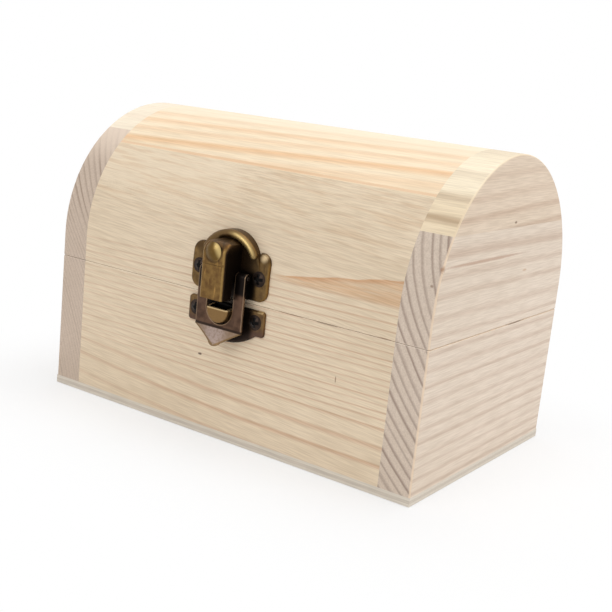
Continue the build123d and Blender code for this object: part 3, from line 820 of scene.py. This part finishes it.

# %% [markdown]
# The upper plate gets painted highlights on its rolled rim, along the edges of its ears and on the shoulder
# of its right ear. Painted shade makes the floor of the dome and the plate close to the hood and the loop's
# arms nearly black, and the skirt behind the rim dark brown. Distances from the middle of the dome and the
# direction that the surface faces give those masks.

# %% Upper plate
DOME_RADIUS = 13.0
EAR_OUT, EAR_UP = 14.0, 5.4

dome_z = MM * plate_high.z - DOME_RADIUS
upper_brass = metal("antique brass, upper plate", (122, 96, 58), (92, 70, 42))
tree, place, sideways, y, z = around_latch(upper_brass)
across = calc(tree, "ABSOLUTE", sideways)
from_dome = from_axis(tree, place, latch_x, dome_z)
# painted highlight on the edges that turn away from the front
turned_edge_highlight = spot(tree, squareness(tree, "Y"), 0.72, 0.97)
tint_where(upper_brass, turned_edge_highlight, (134, 102, 50), 0.6)
# painted shade on the floor of the dome, darkest close to the hood
hollow = both(tree, spot(tree, from_dome, 11.6, 13.4), ease(tree, y, plate_y - 0.5, plate_y - 0.2))
shade_near_hood = ease(tree, spot(tree, across, 7.0, 13.0), 0.0, 1.0, 0.6, 1.0)
tint_where(upper_brass, both(tree, hollow, shade_near_hood), (50, 35, 21), 0.95)
# painted shade on the plate within the loop's width, below the dome's middle
shade_beside_arm = both(tree, spot(tree, across, 10.6, 12.4), spot(tree, z, dome_z - 1.0, dome_z + 2.0))
tint_where(upper_brass, shade_beside_arm, (22, 14, 8), 0.95)
rim = both(tree, ease(tree, from_dome, 9.9, 10.3), spot(tree, y, plate_y - 0.7, plate_y - 0.2))
tint_where(upper_brass, rim, (104, 80, 48), 0.9)
# painted highlight on the crest of the rolled rim, mostly on its right and fading towards its ends
highlight_side = ease(tree, calc(tree, "MULTIPLY_ADD", noise(tree, place, 0.5, 1.0), 3.0, sideways), 0.5, 6.0)
rim_end = ease(tree, z, dome_z + 4.6, dome_z + 8.4, 0.3, 1.0)
rim_highlight = both(tree, rim, spot(tree, from_dome, 12.3, 12.9), highlight_side, rim_end)
tint_where(upper_brass, rim_highlight, (196, 170, 114), 0.9)
# painted shade on the skirt behind the rim
behind_rim = both(tree, ease(tree, from_dome, 12.4, 12.9), ease(tree, y, plate_y - 0.2, plate_y + 0.4))
skirt = both(tree, behind_rim, ease(tree, z, dome_z + 3.0, dome_z + 5.0))
tint_where(upper_brass, skirt, (74, 54, 30), 0.85)
# painted highlight on the shoulder of the right ear
ear_highlight = spot(tree, from_axis(tree, place, latch_x + EAR_OUT, dome_z + EAR_UP), 0.0, 2.0)
tint_where(upper_brass, ear_highlight, (220, 194, 152), 0.9)
dress(upper_brass, "latch_upper_plate")
print("dressed the upper plate")

# %% [markdown]
# The lower plate carries the scoop, a gold-brown cup. Its lip has a painted highlight, and its sides, its
# inside and the plate behind it have painted shade, as has the plate beside the loop's arms. The plate's
# edges and the top corner of its right ear have painted highlights. Its belly has kept more of the
# purple-brown bath that it was dipped in.

# %% Lower plate
SCOOP_Z, SCOOP_TOP_Z = 47.6, 48.8

lower_brass = metal("antique brass, lower plate", (118, 92, 58), (88, 66, 44))
tree, place, sideways, y, z = around_latch(lower_brass)
across = calc(tree, "ABSOLUTE", sideways)
# painted highlight on the edges that turn away from the front
turned_edge_highlight = spot(tree, squareness(tree, "Y"), 0.72, 0.97)
tint_where(lower_brass, turned_edge_highlight, (126, 98, 60), 0.6)
tint_where(lower_brass, spot(tree, z, 41.0, 44.5), (88, 66, 55), 0.9)
on_plate = ease(tree, y, plate_y - 0.4, plate_y - 0.1)
# painted shade on the plate within the loop's width
tint_where(lower_brass, both(tree, on_plate, spot(tree, across, 10.4, 13.0)), (32, 22, 16), 0.92)
# painted shade on the plate behind the scoop, in the loop's window
shade_behind_scoop = both(tree, on_plate, spot(tree, across, 6.0, 8.0), ease(tree, z, 42.0, 43.0))
tint_where(lower_brass, shade_behind_scoop, (10, 7, 5))
# painted highlight on the top corner of the right ear
ear_corner = both(tree, ease(tree, sideways, 13.2, 14.2), spot(tree, sideways, 15.4, 16.2))
ear_highlight = both(tree, ear_corner, ease(tree, z, 48.6, 49.3))
tint_where(lower_brass, ear_highlight, (196, 168, 120), 0.8)
on_scoop = both(tree, spot(tree, across, 5.0, 5.4), spot(tree, y, plate_y - 0.5, plate_y - 0.2))
tint_where(lower_brass, on_scoop, (134, 104, 64), 0.85)
# painted shade towards the sides of the scoop
scoop_side_shade = both(tree, on_scoop, ease(tree, from_axis(tree, place, latch_x, SCOOP_Z), 4.3, 5.0))
tint_where(lower_brass, scoop_side_shade, (86, 64, 36), 0.7)
# painted highlight on the scoop's lip
scoop_lip_highlight = both(tree, on_scoop, ease(tree, z, SCOOP_TOP_Z - 1.15, SCOOP_TOP_Z - 0.75))
tint_where(lower_brass, scoop_lip_highlight, (208, 180, 134), 0.85)
# painted shade inside the scoop
towards_x = calc(tree, "MULTIPLY", sideways, facing(tree, "X"))
outward = calc(tree, "MULTIPLY_ADD", calc(tree, "SUBTRACT", z, SCOOP_Z), facing(tree, "Z"), towards_x)
turned_back = ease(tree, facing(tree, "Y"), -0.2, 0.3)
scoop_inside_shade = calc(tree, "MAXIMUM", spot(tree, outward, -1.0, -0.4), turned_back)
tint_where(lower_brass, both(tree, on_scoop, scoop_inside_shade), (12, 8, 5))
dress(lower_brass, "latch_lower_plate")
print("dressed the lower plate")

# %% [markdown]
# The hood is golden on its front and darker on its head. The crescent on the round boss and the rounded
# front edges are painted highlights, and its cheeks, its back and the foot of the boss have painted shade.

# %% Hood
BOSS_BELOW_TOP = 3.9

boss_z = MM * hood_high.z - BOSS_BELOW_TOP
front_y = MM * hood_low.y
hood_brass = metal("antique brass, hood", (130, 100, 55), (102, 74, 40), scratches=0.7)
tree, place, sideways, y, z = around_latch(hood_brass)
square = squareness(tree, "X")
tint_where(hood_brass, ease(tree, z, boss_z - 2.0, boss_z + 2.5), (88, 59, 26), 0.7)
# painted highlight on the hood's rounded front edges
rounded = both(tree, ease(tree, square, 0.1, 0.4), spot(tree, square, 0.6, 0.8))
rounded = both(tree, rounded, spot(tree, facing(tree, "Z"), 0.3, 0.6))
tint_where(hood_brass, rounded, (160, 130, 76), 0.6)
# painted shade on the hood's cheeks, lighter near the head
cheek = ease(tree, square, 0.72, 0.92)
tint_where(hood_brass, cheek, (34, 23, 13))
shoulder = both(tree, cheek, ease(tree, z, boss_z - 0.5, boss_z + 3.4))
tint_where(hood_brass, shoulder, (96, 70, 42), 0.8)
# painted shade on the faces turned to the wood
tint_where(hood_brass, ease(tree, facing(tree, "Y"), -0.3, 0.2), (30, 21, 14))
from_boss = from_axis(tree, place, latch_x, boss_z)
boss = both(tree, spot(tree, from_boss, 3.0, 3.4), spot(tree, y, front_y + 1.15, front_y + 1.35))
tint_where(hood_brass, boss, (100, 76, 34), 0.9)
# painted highlight on the upper right of the boss
to_corner = calc(tree, "MULTIPLY_ADD", calc(tree, "SUBTRACT", z, boss_z), 0.45, sideways)
tint_where(hood_brass, both(tree, boss, ease(tree, to_corner, 0.9, 3.0)), (206, 180, 120), 0.85)
# painted shade around the foot of the boss
boss_foot_shade = both(tree, ease(tree, from_boss, 3.2, 3.4), spot(tree, from_boss, 3.6, 4.3))
tint_where(hood_brass, both(tree, boss_foot_shade, spot(tree, square, 0.1, 0.4)), (60, 44, 24), 0.6)
dress(hood_brass, "latch_hood")
print("dressed the hood")

# %% [markdown]
# The loop has kept a purple-brown tone. Its thin pale cut edges are a painted highlight, and the tops of its
# arms, the fold and the faces turned to the wood have painted shade. The lip that a finger lifts is worn down
# to a dull pinkish grey with a golden rim. The pin is painted dark for the shade that it lies in.

# %% Loop and pin
FOLD_Z, LOOP_HALF, WINDOW_HALF, WINDOW_Z = 41.4, 10.0, 5.6, 48.1
LIP_TOP_Z, LIP_TAPER, SQUARE_TO_TAPER = FOLD_Z - 0.44, 1.7, 0.51

loop_brass = metal("bronzed brass", (94, 70, 55), (72, 52, 40), scratches=0.2)
tree, place, sideways, _, z = around_latch(loop_brass)
across = calc(tree, "ABSOLUTE", sideways)
# painted shadow on the tops of the loop's arms
tint_where(loop_brass, ease(tree, z, 53.3, 54.8), (20, 12, 8))
on_lip = spot(tree, z, FOLD_Z - 0.5, FOLD_Z - 0.2)
off_middle = ease(tree, distance(tree, sideways, -1.0), 1.5, 7.0)
lip_tone = mix(tree, off_middle, paint(172, 152, 142), paint(146, 123, 103))
tint_where(loop_brass, on_lip, lip_tone, 0.92)
mottled = ease(tree, noise(tree, place, 1.1, 3.0), 0.42, 0.66)
tint_where(loop_brass, both(tree, on_lip, mottled), (124, 102, 80), 0.5)
outline = calc(tree, "MULTIPLY_ADD", calc(tree, "SUBTRACT", z, LIP_TOP_Z), LIP_TAPER, LOOP_HALF)
to_outline = calc(tree, "MULTIPLY", calc(tree, "SUBTRACT", outline, across), SQUARE_TO_TAPER)
lip_rim = both(tree, on_lip, spot(tree, to_outline, 0.3, 0.75))
tint_where(loop_brass, lip_rim, (122, 96, 60), 0.85)
# painted highlight along the loop's cut edges
above_window = calc(tree, "MINIMUM", calc(tree, "SUBTRACT", z, WINDOW_Z), 0.0)
from_window = move(tree, "LENGTH", together(tree, sideways, above_window, 0.0))
window_edge = spot(tree, from_window, WINDOW_HALF + 0.25, WINDOW_HALF + 0.5)
outer_edge = ease(tree, across, LOOP_HALF - 0.5, LOOP_HALF - 0.2)
above_fold = ease(tree, z, FOLD_Z - 0.1, FOLD_Z + 0.2)
eye_end = both(tree, ease(tree, squareness(tree, "X"), 0.5, 0.8), ease(tree, z, 52.5, 54.0))
off_eyes = calc(tree, "SUBTRACT", 1.0, eye_end)
cut_edge_highlight = both(tree, calc(tree, "MAXIMUM", window_edge, outer_edge), above_fold, off_eyes)
tint_where(loop_brass, cut_edge_highlight, (150, 124, 98), 0.6)
# painted shade in the crease of the fold
tint_where(loop_brass, spot(tree, distance(tree, z, FOLD_Z + 0.05), 0.25, 0.6), (40, 28, 20), 0.85)
# painted shade on the faces turned to the wood
tint_where(loop_brass, ease(tree, facing(tree, "Y"), 0.3, 0.7), (60, 44, 36), 0.9)
soft_loop.data.materials.clear()
soft_loop.data.materials.append(loop_brass)
dress(loop_brass, "latch_loop")
# the pin is painted dark for the shade that it lies in
pin_in_painted_shade = metal("pin in painted shade", (44, 33, 25), (26, 19, 14), scratches=0.1, metallic=0.6)
dress(pin_in_painted_shade, "latch_pin")
print("dressed the loop and the pin")

# %% [markdown]
# The screws are blackened steel with a crossed recess. Their heads are rubbed to a dark brown, and the
# cross is filled with shadow: a mask of two bars around the middle of each head. The hinges at the back
# are of plain new brass.

# %% Screws and hinges
HEAD_RADIUS = 2.7
BAR_HALF_WIDTH, BAR_HALF_LENGTH = (0.5, 0.62), (1.7, 1.85)

lower_low, lower_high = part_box("latch_lower_screws")
upper_low, upper_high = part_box("latch_upper_screws")
across_half = MM * (lower_high.x - lower_low.x) / 2 - HEAD_RADIUS
lower_z = MM * (lower_low.z + lower_high.z) / 2
upper_z = MM * (upper_low.z + upper_high.z) / 2
black_screw = metal("blackened screw", (62, 49, 41), (38, 29, 24), scratches=0.6)
tree, _, sideways, _, z = around_latch(black_screw)
beside = distance(tree, calc(tree, "ABSOLUTE", sideways), across_half)
above = distance(tree, distance(tree, z, (lower_z + upper_z) / 2), (upper_z - lower_z) / 2)
upright_bar = both(tree, spot(tree, beside, *BAR_HALF_WIDTH), spot(tree, above, *BAR_HALF_LENGTH))
level_bar = both(tree, spot(tree, above, *BAR_HALF_WIDTH), spot(tree, beside, *BAR_HALF_LENGTH))
tint_where(black_screw, calc(tree, "MAXIMUM", upright_bar, level_bar), (10, 8, 7))
dress(black_screw, "latch_upper_screws", "latch_lower_screws")
hinge_brass = metal("hinge brass", (160, 130, 78), (138, 110, 64))
dress(hinge_brass, "hinge_body_screws", "hinge_lid_screws")
for side in ("left", "right"):
    dress(hinge_brass, f"{side}_hinge_body_leaf", f"{side}_hinge_lid_leaf", f"{side}_hinge_pin")
print("dressed the screws and hinges")
